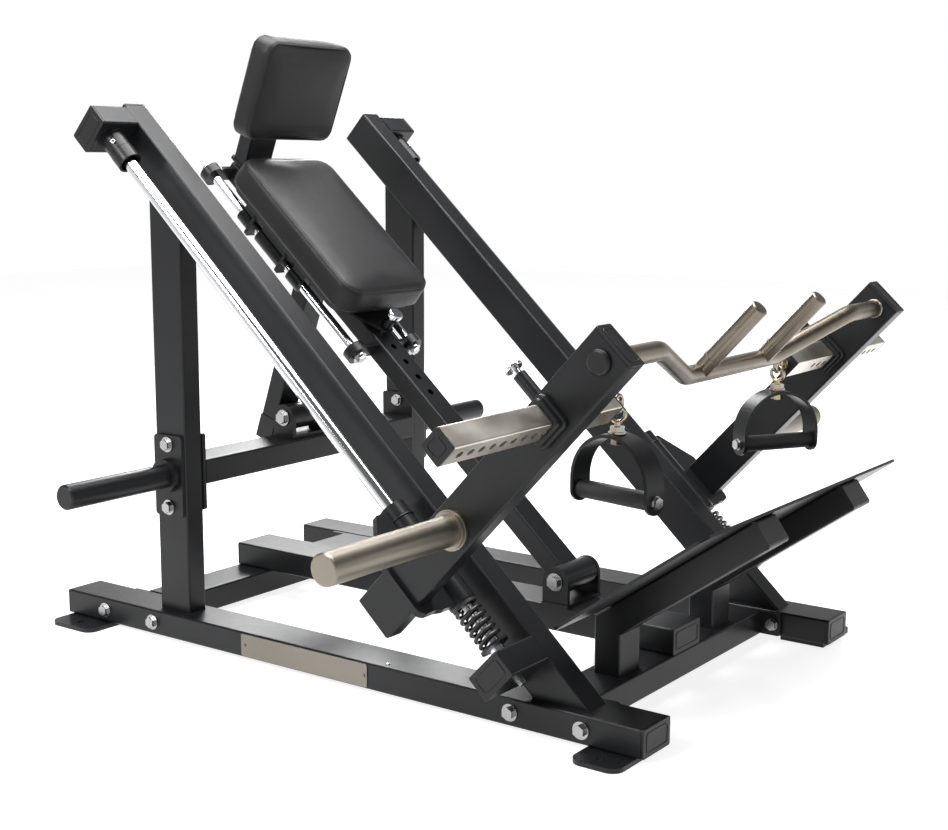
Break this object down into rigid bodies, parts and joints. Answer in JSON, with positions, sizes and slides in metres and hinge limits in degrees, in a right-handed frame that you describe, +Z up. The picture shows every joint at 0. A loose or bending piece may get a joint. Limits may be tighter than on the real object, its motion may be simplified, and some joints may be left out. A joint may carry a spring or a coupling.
{
  "type": "leg press machine",
  "caption": "Plate-loaded inclined leg press: sliding weight carriage on guide rods, adjustable padded back rest, low footplate and hanging D-handles.",
  "frame": {"origin": "centre of the machine's bounding box on the floor plane", "axes": "+X across the machine from the near arm to the far arm, +Y from the footplate end towards the upright end, +Z up"},
  "size_m": [1.668, 1.4716, 1.1807],
  "materials": {
    "frame_paint": "satin",
    "carriage_paint": "satin",
    "chrome": "polished",
    "horn_steel": "satin",
    "bar_steel": "satin",
    "tube_steel": "satin",
    "eye_zinc": "satin",
    "fasteners": "satin",
    "nameplate": "satin",
    "cap_plastic": "satin",
    "vinyl": "satin",
    "board": "matte",
    "grip_rubber": "matte",
    "spring_steel": "satin",
    "liner_plastic": "matte"
  },
  "bodies": {
    "frame": {"base_beam_near": "frame_paint", "base_beam_far": "frame_paint", "rear_crossbar": "frame_paint", "front_crossbar": "frame_paint", "centre_beam": "frame_paint", "upright_near": "frame_paint", "upright_far": "frame_paint", "mid_crossbar": "frame_paint", "storage_horns": "frame_paint", "rail_near": "frame_paint", "rail_far": "frame_paint", "rod_brackets": "frame_paint", "guide_rods": "chrome", "rod_collars": "frame_paint", "springs": "spring_steel", "floor_feet": "frame_paint", "tube_end_caps": "cap_plastic", "footplate": "frame_paint", "footplate_supports": "frame_paint", "nameplate": "nameplate", "bench_tube": "frame_paint", "bench_strut": "frame_paint", "bench_clevises": "frame_paint", "seat_rods": "chrome", "seat_rod_brackets": "frame_paint", "frame_bolts": "fasteners"},
    "main_carriage": {"arm_near": "carriage_paint", "arm_far": "carriage_paint", "arm_caps": "cap_plastic", "carriage_plates": "carriage_paint", "bearing_tubes": "carriage_paint", "bearing_liners": "liner_plastic", "weight_horns": "horn_steel", "bent_bar": "bar_steel", "bar_handles": "bar_steel", "tube_sleeves": "carriage_paint", "pop_pin_barrels": "carriage_paint"},
    "pad_slider": {"pad_carriage": "carriage_paint", "pad_boards": "board", "back_pad": "vinyl", "head_pad_bracket": "carriage_paint", "head_pad": "vinyl", "pull_pin_barrel": "carriage_paint"},
    "pull_pin": {"pull_pin": "chrome"},
    "pop_pin_near": {"pop_pin_near": "chrome"},
    "handle_tube_near": {"handle_tube_near": "tube_steel", "handle_tube_caps_near": "cap_plastic", "upper_eye_near": "eye_zinc"},
    "swivel_near": {"lower_eye_near": "eye_zinc"},
    "d_handle_near": {"grip_strap_near": "carriage_paint", "grip_near": "grip_rubber", "grip_bolt_near": "fasteners"},
    "pop_pin_far": {"pop_pin_far": "chrome"},
    "handle_tube_far": {"handle_tube_far": "tube_steel", "handle_tube_caps_far": "cap_plastic", "upper_eye_far": "eye_zinc"},
    "swivel_far": {"lower_eye_far": "eye_zinc"},
    "d_handle_far": {"grip_strap_far": "carriage_paint", "grip_far": "grip_rubber", "grip_bolt_far": "fasteners"}
  },
  "joints": [
    {"name": "carriage_travel", "type": "slide", "parent": "frame", "child": "main_carriage", "axis": [0, 0.7325, 0.6807], "range_m": [0, 0.8]},
    {"name": "pad_travel", "type": "slide", "parent": "frame", "child": "pad_slider", "axis": [0, 0.7443, 0.6678], "range_m": [-0.168, 0.084]},
    {"name": "pull_pin_press", "type": "slide", "parent": "pad_slider", "child": "pull_pin", "axis": [0, -0.6678, 0.7443], "range_m": [-0.011, 0]},
    {"name": "pop_pin_near_press", "type": "slide", "parent": "main_carriage", "child": "pop_pin_near", "axis": [0, 0.7325, 0.6807], "range_m": [-0.011, 0]},
    {"name": "handle_tube_near_slide", "type": "slide", "parent": "main_carriage", "child": "handle_tube_near", "axis": [1, 0, 0], "range_m": [-0.052, 0.104]},
    {"name": "swivel_near_swing", "type": "hinge", "parent": "handle_tube_near", "child": "swivel_near", "pos_m": [-0.323, -0.52, 0.5527], "axis": [0, 1, 0], "range_deg": [-40, 20]},
    {"name": "d_handle_near_turn", "type": "hinge", "parent": "swivel_near", "child": "d_handle_near", "pos_m": [-0.323, -0.52, 0.5047], "axis": [0, 0, 1], "continuous": true},
    {"name": "pop_pin_far_press", "type": "slide", "parent": "main_carriage", "child": "pop_pin_far", "axis": [0, 0.7325, 0.6807], "range_m": [-0.011, 0]},
    {"name": "handle_tube_far_slide", "type": "slide", "parent": "main_carriage", "child": "handle_tube_far", "axis": [-1, 0, 0], "range_m": [-0.104, 0.052]},
    {"name": "swivel_far_swing", "type": "hinge", "parent": "handle_tube_far", "child": "swivel_far", "pos_m": [0.271, -0.52, 0.5527], "axis": [0, 1, 0], "range_deg": [-20, 40]},
    {"name": "d_handle_far_turn", "type": "hinge", "parent": "swivel_far", "child": "d_handle_far", "pos_m": [0.271, -0.52, 0.5047], "axis": [0, 0, 1], "continuous": true}
  ]
}
